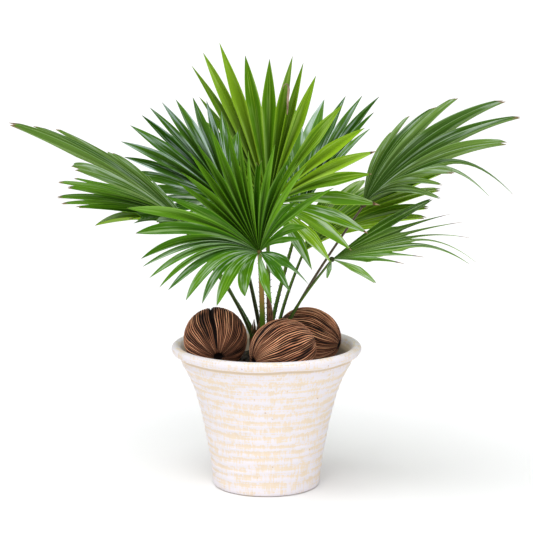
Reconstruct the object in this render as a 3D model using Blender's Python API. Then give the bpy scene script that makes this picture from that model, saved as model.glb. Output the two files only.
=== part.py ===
"""A fan palm in a flared, whitewashed clay pot, with three dried fibrous husks lying on its soil.

The pot stands on z = 0, its axis is the Z axis, and -Y is the side that the big front frond faces.
Sizes are in millimetres, turned into metres where a mesh is made.
"""

import math
import random
from dataclasses import dataclass

import bmesh
import bpy
from mathutils import Matrix, Vector

MM = 0.001
GAP = 0.35  # between pieces that touch

# Pot: radius and height of each point of the turned outline, outside from the lip's crest down to the foot
RIM_RADIUS = 125.0
POT_HEIGHT = 189.0
LIP = ((119.0, POT_HEIGHT), (123.0, 187.5), (RIM_RADIUS, 184.0), (124.0, 180.0), (119.5, 175.5),
       (115.0, 173.5))
FLARE = ((113.0, 165.5), (104.5, 153.0), (98.5, 139.0), (93.0, 124.0), (87.5, 103.0), (83.0, 83.5),
         (79.0, 61.5), (75.0, 40.0), (72.3, 18.0))
FOOT = ((71.0, 4.0), (67.5, 0.0))
BORE = ((114.5, 188.0), (111.5, 184.0), (106.5, 172.0), (96.0, 151.0), (78.0, 96.0), (64.5, 24.0),
        (58.0, 13.0))
FLOOR_HEIGHT = 12.0
POT_SIDES = 36
RIDGE_DEPTH = 0.7  # throwing ridges on the outside
RIDGE_PITCH = 14.0

# Soil and crown
SOIL_HEIGHT = 161.0
SOIL_RINGS = (0.18, 0.45, 0.72, 0.93)
CROWN_OUTLINE = ((11.0, 118.0), (16.0, 128.0), (19.0, 152.0), (19.6, 172.0), (19.2, 188.0), (18.4, 192.0))
CROWN_TOP = 192.0
CROWN_SIDES = 24
SOCKET_BOTTOM = 166.0
SOCKET_CLEARANCE = 0.45


@dataclass(frozen=True)
class Frond:
    """A stalk that rises from its socket in the crown to the hub, and a pleated fan of blades on the hub.

    tips holds where each blade ends, from the hub, in order round the fan as seen from its upper face. A
    slender blade has how far it droops as a fourth number. bow is the way that the blades arch, by arch of
    their length for one that points up and by more the lower it points. split is the share of the length up
    to which neighbours are grown together, and reach the most, in radians, that a blade spreads to each side.
    torn holds the numbers of the blades that end broad, and the first blades, as many as broad, taper late.
    """

    name: str
    socket: tuple
    hub: tuple
    tips: tuple
    pleats: int = 1  # of each blade
    bow: tuple = (0.0, 0.0, 1.0)
    arch: float = 0.06
    split: float = 0.7
    reach: float = 9.0
    torn: tuple = ()
    broad: int = 0


FRONDS = (
    Frond("frond_front", (-4.3, -11.7), (-9, -72, 321),
          ((-18, -34, -50), (-53, -52, -59), (-71, -58, -55), (-91, -64, -50), (-113, -65, -37),
           (-124, -64, -34), (-136, -62, -22), (-145, -56, -9), (-147, -50, 0), (-154, -42, 31),
           (-165, -30, 61), (-121, -10, 74), (-104, 2, 90), (-99, 8, 102), (-90, 14, 129), (-81, 18, 139),
           (-62, 22, 158), (-42, 26, 167), (-26, 28, 158), (-14, 26, 128), (-1, 26, 108), (20, 22, 136),
           (41, 16, 123), (49, 10, 117), (60, 4, 111), (48, -3, 66), (94, -8, 84), (60, -28, 36),
           (54, -34, 22), (63, -50, -33, 1), (39, -52, -42), (16, -38, -59)),
          bow=(-0.3, -0.5, 0.8), arch=0.1, split=0.58, reach=0.16, torn=(20,), broad=11),
    Frond("frond_top", (3.4, 2.4), (2, 28, 367),
          ((-66, 85, -60), (-100, 100, -12), (-112, 100, 36), (-108, 94, 64), (-102, 86, 88),
           (-94, 78, 112), (-92, 72, 138), (-102, 70, 180), (-86, 55, 198), (-64, 40, 212), (-30, 30, 196),
           (2, 20, 192), (32, 10, 196), (46, 5, 188), (62, -10, 172), (96, -30, 136), (124, -50, 108),
           (138, -70, 80), (132, -80, 52), (142, -94, 14), (127, -98, -22), (106, -96, -44),
           (80, -95, -60), (56, -90, -70)),
          bow=(0.0, -0.5, 0.8), arch=0.05, split=0.66, reach=0.09),
    Frond("frond_upper_left", (-3.8, -1.2), (-45, 8, 369),
          ((-60, 12, -20), (-84, 18, -4), (-98, 13, 6), (-110, 7, 21), (-132, -2, 44), (-140, -6, 66), (-144, -4, 86),
           (-132, 5, 106), (-118, 20, 118), (-108, 25, 128), (-92, 30, 134), (-74, 30, 138),
           (-52, 40, 140), (-34, 40, 136), (-14, 30, 122), (8, 5, 98)),
          bow=(0.0, -0.5, 0.8), arch=0.05, broad=5),
    Frond("frond_far_left", (-11.0, -5.9), (-97, -22, 340),
          ((-40, -54, 20), (-143, -68, 91), (-227, -50, 147), (-196, -22, 140), (-171, 3, 134),
           (-104, 16, 102), (-54, 22, 68)), pleats=2, reach=0.08),
    Frond("frond_left", (-12.2, 2.6), (-103, 34, 344),
          ((-69, -54, 8, 1), (-142, -60, 30), (-162, -45, 32), (-170, -25, 38), (-158, 0, 48),
           (-174, 25, 52), (-154, 50, 54), (-110, 90, 44), (-56, 95, 26)), pleats=2, arch=0.04, split=0.65),
    Frond("frond_lower_left", (-7.3, 10.1), (-110, 62, 332),
          ((-68, -40, 19), (-118, -10, 6), (-108, 30, 30), (-75, 80, 22), (-27, 105, 12)), reach=0.22, broad=3),
    Frond("frond_far_right", (12.5, 0.9), (126, 2, 372),
          ((40, 95, 86), (64, 100, 108), (100, 100, 120), (126, 85, 134), (186, 40, 134), (202, 0, 116),
           (178, -45, 86), (184, -80, 70, 46), (152, -100, 64, 40), (104, -115, 56), (90, -125, 42),
           (88, -135, 26)), pleats=2, bow=(-0.5, 0.0, 1.0), arch=0.07, split=0.58, reach=0.15),
    Frond("frond_lower_right", (10.4, -7.0), (84, -38, 307),
          ((130, 20, 76), (154, 15, 58, 1), (168, 10, 48, 1), (176, 0, 40, 12), (184, -10, 36, 38),
           (174, -25, 28, 30), (114, -50, 12, 1), (88, -65, 6, 1), (52, -75, -18), (-8, -50, -16)),
          pleats=2, arch=0.02, split=0.55, reach=0.12),
    Frond("frond_back_right", (1.3, 12.4), (45, 72, 348),
          ((-68, 90, 80), (-40, 95, 124), (-10, 95, 144), (34, 80, 150), (62, 55, 156), (84, 40, 158),
           (106, 25, 158), (98, 10, 138), (92, -10, 118)), bow=(-0.3, 0.0, 1.0)),
    Frond("frond_right", (9.0, 8.7), (49, 36, 305),
          ((38, 105, 66), (82, 105, 84), (140, 80, 98), (184, 40, 102), (182, 15, 82), (164, -5, 60),
           (160, -26, 50), (104, -30, 38)), pleats=2),
)

# Blades of a frond
BLADE_THICKNESS = 0.9
FREE_ROWS = (0.4, 0.75, 1.0)  # shares of a blade's free length
BLUNT_ROWS = (0.55, 1.0)  # the same for a blade with several pleats
TAPER_POWER = 1.4
SLENDER_POWER = 0.4
BLUNT_END = 0.3  # of the width of a blade with several pleats
TORN_END = 0.8
BROAD_POWER = 2.8
PLEAT_WIDTH = 0.19  # of a pleat that lies flat, as a share of its distance from the hub
LEAST_FOLD, DEEPEST_FOLD = 0.25, 0.9  # slope of a pleat's two halves
HANGING_FOLD = 0.45  # of the fold of a blade that points up, for one that points down
NORMAL_STEP = 0.05  # how far to each side across the fan its upward way is taken from
WEEP = 0.8  # how much more a level blade arches than one that points up

HUB_RADIUS = 4.3  # of the knot that the blades grow from
HUB_RING = 2.4  # from its middle to the first row of the blades

# Stalks
STALK_BASE_RADIUS = 3.1
STALK_TIP_RADIUS = 1.9
STALK_WIDENING = 1.1
STALK_SIDES = 6
STALK_STATIONS = (0.0, 0.12, 0.3, 0.52, 0.77, 1.0)
STALK_RISE = 44.0  # how far it leaves the crown upright
SPINES = 7
SPINE_LENGTH = 3.2
SPINE_RADIUS = 0.9

# The torn brown sheath of an older frond, which stands in front of the crown
SHEATH_POINTS = ((3.9, -11.9, 166.0), (4.2, -13.5, 190.0), (5.0, -18.5, 216.0), (4.0, -26.0, 243.0),
                 (1.5, -33.0, 262.0))
SHEATH_RADII = (3.0, 4.6, 4.4, 3.2, 0.9)


@dataclass(frozen=True)
class Husk:
    """A dried fibrous fruit: half its length and half its width, and the way that its stalk end points."""

    name: str
    centre: tuple
    half_length: float
    half_width: float
    pole: tuple
    seed: int


HUSKS = (
    Husk("husk_left", (-66.5, -26.0, 200.5), 41.5, 41.5, (0.16, -0.86, -0.48), 21),
    Husk("husk_front", (21.0, -61.5, 192.0), 44.0, 41.0, (-0.85, -0.45, -0.25), 22),
    Husk("husk_back", (56.0, 27.0, 193.0), 44.0, 38.5, (0.93, -0.30, -0.20), 23),
)
HUSK_MERIDIANS = 30
HUSK_PARALLELS = 10
HUSK_RIB = 0.02  # of the radius


def clear_scene():
    for obj in list(bpy.data.objects):
        bpy.data.objects.remove(obj)


def material(name, colour, roughness):
    found = bpy.data.materials.get(name)
    if found:
        return found
    made = bpy.data.materials.new(name)
    made.use_nodes = True
    shader = made.node_tree.nodes["Principled BSDF"]
    shader.inputs["Base Color"].default_value = (*colour, 1.0)
    shader.inputs["Roughness"].default_value = roughness
    shader.inputs["Metallic"].default_value = 0.0
    return made


def whitewashed_clay():
    return material("whitewashed_clay", (0.86, 0.80, 0.70), 0.85)


def potting_soil():
    return material("potting_soil", (0.05, 0.035, 0.025), 0.95)


def palm_leaf():
    return material("palm_leaf", (0.12, 0.30, 0.04), 0.4)


def dry_fibre():
    return material("dry_fibre", (0.20, 0.11, 0.06), 0.9)


def husk_fibre():
    return material("husk_fibre", (0.16, 0.08, 0.045), 0.85)


def object_from(name, bm, finish):
    """An object of that name from a bmesh in millimetres, which is freed."""
    bmesh.ops.scale(bm, vec=(MM, MM, MM), verts=bm.verts)
    mesh = bpy.data.meshes.new(name)
    bm.to_mesh(mesh)
    bm.free()
    mesh.materials.append(finish)
    obj = bpy.data.objects.new(name, mesh)
    bpy.context.scene.collection.objects.link(obj)
    return obj


def cutter(obj):
    obj.hide_render = True
    obj.display_type = "WIRE"
    return obj


def turned(chains, sides):
    """A closed bmesh of open outlines, points of radius and height, spun about the Z axis."""
    bm = bmesh.new()
    geometry = []
    for chain in chains:
        points = [bm.verts.new((radius, 0.0, height)) for radius, height in chain]
        geometry += points + [bm.edges.new(pair) for pair in zip(points, points[1:])]
    bmesh.ops.spin(bm, geom=geometry, cent=(0, 0, 0), axis=(0, 0, 1), angle=math.tau, steps=sides,
                   use_merge=True)
    bmesh.ops.remove_doubles(bm, verts=bm.verts, dist=1e-4)
    bmesh.ops.recalc_face_normals(bm, faces=bm.faces)
    return bm


def smooth(obj, angle=40.0):
    obj.data.shade_smooth()
    obj.data.set_sharp_from_angle(angle=math.radians(angle))


def flare_radius(height):
    """The radius of the pot's outside at a height, between the points of FLARE."""
    for (top_radius, top), (low_radius, low) in zip(FLARE, FLARE[1:]):
        if low <= height <= top:
            share = (height - low) / (top - low)
            return low_radius + (top_radius - low_radius) * share
    raise ValueError("no flare at this height")


def ridged_flare():
    """The flare with a throwing ridge at every RIDGE_PITCH, as a crest and a groove."""
    points = [FLARE[0]]
    height = FLARE[0][1] - RIDGE_PITCH / 2
    crest = False
    while height > FLARE[-1][1] + RIDGE_PITCH / 4:
        points.append((flare_radius(height) + (RIDGE_DEPTH if crest else -RIDGE_DEPTH), height))
        crest = not crest
        height -= RIDGE_PITCH / 2
    points.append(FLARE[-1])
    return points


def make_pot():
    outside = [*LIP, *ridged_flare(), *FOOT, (0.0, 0.0)]
    inside = [LIP[0], *BORE, (0.0, FLOOR_HEIGHT)]
    obj = object_from("pot", turned([outside, inside], POT_SIDES), whitewashed_clay())
    smooth(obj, 50.0)
    return obj


def bore_radius(height):
    for (top_radius, top), (low_radius, low) in zip(BORE, BORE[1:]):
        if low <= height <= top:
            return low_radius + (top_radius - low_radius) * (height - low) / (top - low)
    raise ValueError("no bore at this height")


def make_soil(cutters):
    """Soil that fills the pot to 28 mm below its rim, with a hole for the crown and a dip under each husk."""
    edge = bore_radius(SOIL_HEIGHT - 2.0) - GAP
    top = [(edge * share, SOIL_HEIGHT) for share in SOIL_RINGS]
    side = [(radius - GAP, height) for radius, height in BORE if height < SOIL_HEIGHT]
    outline = [(0.0, SOIL_HEIGHT), *top, (edge, SOIL_HEIGHT - 2.0), *side, (0.0, FLOOR_HEIGHT + GAP)]
    bm = turned([outline], POT_SIDES)
    rng = random.Random(5)
    for vert in bm.verts:
        if abs(vert.co.z - SOIL_HEIGHT) < 0.01:
            vert.co.z -= rng.uniform(0.0, 1.6)
    bmesh.ops.triangulate(bm, faces=bm.faces)
    soil = object_from("soil", bm, potting_soil())
    for number, tool in enumerate(cutters):
        cut = soil.modifiers.new(f"hollow_{number}", "BOOLEAN")
        cut.operation = "DIFFERENCE"
        cut.object = tool
    return soil


def make_crown(stalk_cutters):
    """The short stem of the palm, wrapped in old sheath fibre, with a socket for each stalk."""
    bm = turned([[(0.0, CROWN_OUTLINE[0][1]), *CROWN_OUTLINE, (0.0, CROWN_TOP)]], CROWN_SIDES)
    for vert in bm.verts:
        column = round(math.atan2(vert.co.y, vert.co.x) / math.tau * CROWN_SIDES)
        if vert.co.z < CROWN_TOP - 1.0 and column % 2:
            vert.co.x *= 0.95
            vert.co.y *= 0.95
    crown = object_from("crown", bm, dry_fibre())
    for number, tool in enumerate(stalk_cutters):
        cut = crown.modifiers.new(f"socket_{number}", "BOOLEAN")
        cut.operation = "DIFFERENCE"
        cut.object = tool
    return crown


def crown_cutter():
    """The hole that the crown stands in."""
    foot, top = CROWN_OUTLINE[0][1] - GAP, CROWN_TOP + 20.0
    outline = [(radius + SOCKET_CLEARANCE, height) for radius, height in CROWN_OUTLINE]
    outline = [(0.0, foot), (outline[0][0], foot), *outline[1:-1], (outline[-1][0], top), (0.0, top)]
    return cutter(object_from("crown_hole", turned([outline], CROWN_SIDES), dry_fibre()))


def husk_mesh(husk, ribs, grow=0.0):
    """An egg-shaped body with ribs that run from pole to pole, its pole turned the husk's way."""
    bm = bmesh.new()
    bmesh.ops.create_uvsphere(bm, u_segments=HUSK_MERIDIANS, v_segments=HUSK_PARALLELS, radius=1.0)
    rng = random.Random(husk.seed)
    heights = [rng.uniform(-1.0, 0.2) for _ in range(HUSK_MERIDIANS)]
    turn = Vector((0, 0, 1)).rotation_difference(Vector(husk.pole)).to_matrix()
    for vert in bm.verts:
        direction = vert.co.copy()
        meridian = round(math.atan2(direction.y, direction.x) / math.tau * HUSK_MERIDIANS) % HUSK_MERIDIANS
        away_from_pole = 1.0 - abs(direction.z) ** 6
        relief = 0.0
        if ribs:
            relief = HUSK_RIB * (0.5 * heights[meridian] - (0.5 if meridian % 2 else 0.0)) * away_from_pole
        across = (husk.half_width + grow) * (1.0 + relief)
        point = Vector((direction.x * across, direction.y * across, direction.z * (husk.half_length + grow)))
        vert.co = turn @ point + Vector(husk.centre)
    return bm


def make_husk(husk):
    obj = object_from(husk.name, husk_mesh(husk, True), husk_fibre())
    smooth(obj, 60.0)
    return obj


def husk_cutter(husk):
    return cutter(object_from(husk.name + "_dip", husk_mesh(husk, False, GAP), husk_fibre()))


class Fan:
    """The smooth surface that the blades lie on: s runs across the fan and t from the hub to the tips."""

    def __init__(self, frond):
        self.frond = frond
        self.hub = Vector(frond.hub)
        self.bow = Vector(frond.bow).normalized()
        self.lengths = [Vector(tip[:3]).length for tip in frond.tips]
        self.ways = [Vector(tip[:3]).normalized() for tip in frond.tips]
        turns = [a.angle(b) for a, b in zip(self.ways, self.ways[1:])]
        self.places = [sum(turns[:n]) / sum(turns) for n in range(len(turns) + 1)]
        self.reach = frond.reach / sum(turns)

    def edges(self, number):
        """Where the blade of that number begins, has its tip and ends across the fan."""
        places = [2 * self.places[0] - self.places[1], *self.places, 2 * self.places[-1] - self.places[-2]]
        before, middle, after = places[number:number + 3]
        return (middle - min((middle - before) / 2, self.reach), middle,
                middle + min((after - middle) / 2, self.reach))

    def tip(self, s):
        """Where a blade at s would end, from the hub, between the tips on either side."""
        last = len(self.places) - 2
        k = max((n for n in range(last + 1) if self.places[n] <= s), default=0)
        u = (s - self.places[k]) / (self.places[k + 1] - self.places[k])
        way = self.ways[k] * (1 - u) + self.ways[k + 1] * u
        return way.normalized() * (self.lengths[k] * (1 - u) + self.lengths[k + 1] * u)

    def point(self, s, t):
        tip = self.tip(s)
        way = tip.normalized()
        bow = self.bow - way * self.bow.dot(way)
        arch = self.frond.arch * (1 + WEEP * (1 - way.z))
        return self.hub + tip * t + bow * (tip.length * arch * 4 * t * (1 - t))

    def normal(self, s, t):
        """The way that the upper face looks."""
        t = min(max(t, 0.15), 0.97)
        across = self.point(s + NORMAL_STEP, t) - self.point(s - NORMAL_STEP, t)
        outward = self.point(s, t + 0.03) - self.point(s, t - 0.03)
        return across.cross(outward).normalized()


def blade_rows(frond, number):
    """The rows of a blade: share of its length, width from 1 to its end's, and share of its free part."""
    slender = len(frond.tips[number]) > 3
    rows = [(0.0, 1.0, 0.0), (frond.split, 1.0, 0.0)]  # the first is moved out to the edge of the hub
    end = BLUNT_END if frond.pleats > 1 and not slender else 0.0
    end = TORN_END if number in frond.torn else end
    power = SLENDER_POWER if slender else BROAD_POWER if number < frond.broad else TAPER_POWER
    for share in FREE_ROWS if frond.pleats == 1 or slender else BLUNT_ROWS:
        t = frond.split + share * (1 - frond.split)
        rows.append((t, (1 - (1 - end) * share ** power) * frond.split / t, share))
    return rows


def add_blade(bm, upward, fan, number):
    """One blade as a grid that meets the next one up to the split; the layer upward keeps its upper side."""
    frond = fan.frond
    before, middle, after = fan.edges(number)
    droop = sum(frond.tips[number][3:])
    rows = blade_rows(frond, number)
    columns = 2 * frond.pleats
    pleat = (fan.point(after, frond.split) - fan.point(before, frond.split)).length / frond.pleats
    flat = fan.tip(middle).length * frond.split * PLEAT_WIDTH
    fold = min(math.sqrt(max((flat / pleat) ** 2 - 1, LEAST_FOLD ** 2)), DEEPEST_FOLD)
    fold *= HANGING_FOLD + (1 - HANGING_FOLD) * min(max(fan.ways[number].z * 1.8 + 0.3, 0.0), 1.0)
    made = bmesh.ops.create_grid(bm, x_segments=columns, y_segments=len(rows) - 1, size=1.0)
    for vert in made["verts"]:
        t, width, free = rows[round((vert.co.y + 1) / 2 * (len(rows) - 1))]
        column = round((vert.co.x + 1) / 2 * columns)
        side = vert.co.x * width
        s = middle + side * (after - middle if side > 0 else middle - before)
        t = max(t, HUB_RING / fan.tip(s).length)
        place = fan.point(s, t)
        vert[upward] = fan.normal(s, t)
        if column % 2:
            edge = fan.point(after, t) - fan.point(before, t)
            place -= vert[upward] * (edge.length * width / columns * fold)
        place.z -= droop * free ** 2
        vert.co = place


def make_fan(frond, finish):
    """The pleated fan: one sheet, which is then extruded from its lower to its upper side."""
    fan = Fan(frond)
    bm = bmesh.new()
    upward = bm.verts.layers.float_vector.new("upward")
    for number in range(len(frond.tips)):
        add_blade(bm, upward, fan, number)
    bmesh.ops.remove_doubles(bm, verts=bm.verts, dist=0.01)
    bmesh.ops.triangulate(bm, faces=bm.faces, quad_method="SHORT_EDGE")
    lower = list(bm.verts)
    grown = bmesh.ops.extrude_face_region(bm, geom=bm.faces[:], use_keep_orig=True)["geom"]
    for vert in grown:
        if isinstance(vert, bmesh.types.BMVert):
            vert.co += vert[upward] * (BLADE_THICKNESS / 2)
    for vert in lower:
        vert.co -= vert[upward] * (BLADE_THICKNESS / 2)
    bmesh.ops.recalc_face_normals(bm, faces=bm.faces)
    return object_from(frond.name + "_fan", bm, finish)


def make_hub(frond):
    bm = bmesh.new()
    bmesh.ops.create_icosphere(bm, subdivisions=1, radius=HUB_RADIUS, matrix=Matrix.Translation(frond.hub))
    return object_from(frond.name + "_hub", bm, palm_leaf())


def stalk_path(frond):
    """Centres of the stalk's stations, upright out of its socket and then on a gentle curve to the hub."""
    foot = Vector((*frond.socket, SOCKET_BOTTOM))
    hub = Vector(frond.hub)
    top = Vector((frond.socket[0] * 1.15, frond.socket[1] * 1.15, SOCKET_BOTTOM + STALK_RISE))
    near = hub - (hub - Vector((0, 0, CROWN_TOP))) * 0.35
    points = []
    for u in STALK_STATIONS:
        v = 1 - u
        points.append(foot * v ** 3 + top * (3 * v * v * u) + near * (3 * v * u * u) + hub * u ** 3)
    return points


def stalk_frames(frond, points):
    """For each station its centre, the way across it and the way out of its back."""
    outward = Vector((frond.hub[0] - frond.socket[0], frond.hub[1] - frond.socket[1], 0.0)).normalized()
    frames = []
    for n, point in enumerate(points):
        ahead = points[min(n + 1, len(points) - 1)] - points[max(n - 1, 0)]
        across = ahead.normalized().cross(outward).normalized()
        frames.append((point, across, across.cross(ahead).normalized()))
    return frames


def tube_mesh(frames, radii):
    """A closed tube through the frames, a little wider than it is thick."""
    bm = bmesh.new()
    rows = len(frames) - 1
    made = bmesh.ops.create_grid(bm, x_segments=STALK_SIDES, y_segments=rows, size=1.0)
    for vert in made["verts"]:
        angle = vert.co.x * math.pi
        row = round((vert.co.y + 1) / 2 * rows)
        centre, across, back = frames[row]
        half_width, half_depth = radii[row] * STALK_WIDENING, radii[row] / STALK_WIDENING
        vert.co = centre + across * (math.cos(angle) * half_width) + back * (math.sin(angle) * half_depth)
    bmesh.ops.remove_doubles(bm, verts=bm.verts, dist=1e-3)
    bmesh.ops.holes_fill(bm, edges=bm.edges, sides=0)
    bmesh.ops.recalc_face_normals(bm, faces=bm.faces)
    return bm


def stalk_radii(grow=0.0):
    radii = [STALK_BASE_RADIUS + (STALK_TIP_RADIUS - STALK_BASE_RADIUS) * u ** 0.8 for u in STALK_STATIONS]
    return [radius + grow for radius in radii]


def make_spines(name, frames, radii, finish):
    """Small hooked spines along both edges of the stalk, as slender cones sunk into it."""
    bm = bmesh.new()
    rng = random.Random(name)
    for number in range(SPINES):
        share = 0.42 + 0.53 * (number + rng.uniform(0.1, 0.9)) / SPINES
        place = share * (len(frames) - 1)
        row = int(place)
        part = place - row
        centre = frames[row][0].lerp(frames[row + 1][0], part)
        across = frames[row][1] * (1 if number % 2 else -1)
        ahead = (frames[row + 1][0] - frames[row][0]).normalized()
        radius = radii[row] * STALK_WIDENING
        way = (across + ahead * 0.6).normalized()
        turn = Vector((0, 0, 1)).rotation_difference(way).to_matrix().to_4x4()
        middle = centre + across * (radius * 0.55) + way * (SPINE_LENGTH / 2)
        bmesh.ops.create_cone(bm, cap_ends=True, segments=3, radius1=SPINE_RADIUS, radius2=0.0,
                              depth=SPINE_LENGTH, matrix=Matrix.Translation(middle) @ turn)
    return object_from(name + "_spines", bm, finish)


def united(name, pieces):
    """One body of all the pieces, by one Boolean union; the pieces are removed."""
    group = bpy.data.collections.new(name + "_pieces")
    bpy.context.scene.collection.children.link(group)
    first, *others = pieces
    for piece in others:
        bpy.context.scene.collection.objects.unlink(piece)
        group.objects.link(piece)
    union = first.modifiers.new("union", "BOOLEAN")
    union.operation = "UNION"
    union.operand_type = "COLLECTION"
    union.collection = group
    union.solver = "EXACT"
    union.use_self = True
    bpy.context.view_layer.update()
    depsgraph = bpy.context.evaluated_depsgraph_get()
    mesh = bpy.data.meshes.new_from_object(first.evaluated_get(depsgraph))
    mesh.name = name
    obj = bpy.data.objects.new(name, mesh)
    bpy.context.scene.collection.objects.link(obj)
    for piece in pieces:
        bpy.data.objects.remove(piece)
    bpy.data.collections.remove(group)
    return obj


def make_frond(frond):
    frames = stalk_frames(frond, stalk_path(frond))
    radii = stalk_radii()
    stalk = object_from(frond.name + "_stalk", tube_mesh(frames, radii), palm_leaf())
    spines = make_spines(frond.name, frames, radii, palm_leaf())
    return united(frond.name, [make_fan(frond, palm_leaf()), make_hub(frond), stalk, spines])


def socket_cutter(name, frames, radii):
    """The first stations of a stalk, grown by the clearance and lowered by it at the foot."""
    centre, across, back = frames[0]
    rise = (frames[1][0] - centre).normalized()
    grown = [(centre - rise * SOCKET_CLEARANCE, across, back), *frames[1:3]]
    wide = [radius + SOCKET_CLEARANCE for radius in radii[:3]]
    return cutter(object_from(name + "_socket", tube_mesh(grown, wide), dry_fibre()))


def sheath_frames():
    points = [Vector(point) for point in SHEATH_POINTS]
    frames = []
    for n, point in enumerate(points):
        ahead = points[min(n + 1, len(points) - 1)] - points[max(n - 1, 0)]
        across = ahead.normalized().cross(Vector((0, -1, 0))).normalized()
        frames.append((point, across, across.cross(ahead).normalized()))
    return frames


def make_sheath():
    return object_from("dry_sheath", tube_mesh(sheath_frames(), SHEATH_RADII), dry_fibre())


def main():
    clear_scene()
    make_pot()
    stalks = []
    for frond in FRONDS:
        stalks.append(socket_cutter(frond.name, stalk_frames(frond, stalk_path(frond)), stalk_radii()))
    stalks.append(socket_cutter("dry_sheath", sheath_frames(), SHEATH_RADII))
    make_crown(stalks)
    make_soil([crown_cutter(), *(husk_cutter(husk) for husk in HUSKS)])
    for husk in HUSKS:
        make_husk(husk)
    make_sheath()
    for frond in FRONDS:
        make_frond(frond)


if __name__ == "__main__":
    main()
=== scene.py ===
"""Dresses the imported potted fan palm: fronds, husks, soil and pot, in a pale studio.

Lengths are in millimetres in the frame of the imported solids, turned into metres where a mesh is made.
"""

import functools
import math
import random
from dataclasses import dataclass

import bmesh
import bpy
from bpy.props import FloatProperty, FloatVectorProperty, IntProperty, PointerProperty
from mathutils import Euler, Matrix, Vector, noise


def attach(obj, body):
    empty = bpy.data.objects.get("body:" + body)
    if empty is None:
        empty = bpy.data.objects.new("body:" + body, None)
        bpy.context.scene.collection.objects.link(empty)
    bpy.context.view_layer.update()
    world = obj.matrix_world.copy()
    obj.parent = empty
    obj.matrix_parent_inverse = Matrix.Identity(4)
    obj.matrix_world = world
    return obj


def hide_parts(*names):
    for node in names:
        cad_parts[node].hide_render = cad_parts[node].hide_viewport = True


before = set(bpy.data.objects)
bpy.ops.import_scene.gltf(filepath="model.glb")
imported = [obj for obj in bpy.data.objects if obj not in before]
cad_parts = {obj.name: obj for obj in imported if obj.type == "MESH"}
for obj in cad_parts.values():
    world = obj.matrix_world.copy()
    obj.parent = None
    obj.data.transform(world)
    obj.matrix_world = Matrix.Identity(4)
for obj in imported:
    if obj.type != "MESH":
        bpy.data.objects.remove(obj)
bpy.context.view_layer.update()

bl_info = {
    "name": "Potted Fan Palm",
    "version": (1, 0, 0),
    "blender": (4, 5, 0),
    "location": "View3D > Sidebar > Fan Palm",
    "description": "Dresses a packed fan palm in its clay pot, in a pale studio",
    "category": "Object",
}

MM = 0.001
BODY = "root"


@dataclass(frozen=True)
class Frond:
    """A stalk from the crown to the hub and a pleated fan of blades on the hub, as in the solids.

    tips holds where each blade ends, from the hub, in order round the fan as seen from its upper face; a
    fourth number makes a blade slender and is how far it droops. reach is the most that a blade spreads to
    either side, in radians, torn numbers the blades whose ends are torn off, and the first blades, as many
    as broad, taper late. leaf and stalk name the finishes, girth makes the stalk thicker, and dry gives the
    dead share of a blade's length by the blade's number.
    """

    name: str
    socket: tuple
    hub: tuple
    tips: tuple
    pleats: int = 1
    bow: tuple = (0.0, 0.0, 1.0)
    arch: float = 0.06
    split: float = 0.7
    reach: float = 9.0
    torn: tuple = ()
    broad: int = 0
    leaf: str = "mid"
    stalk: str = "green"
    girth: float = 1.0
    dry: tuple = ()


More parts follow.
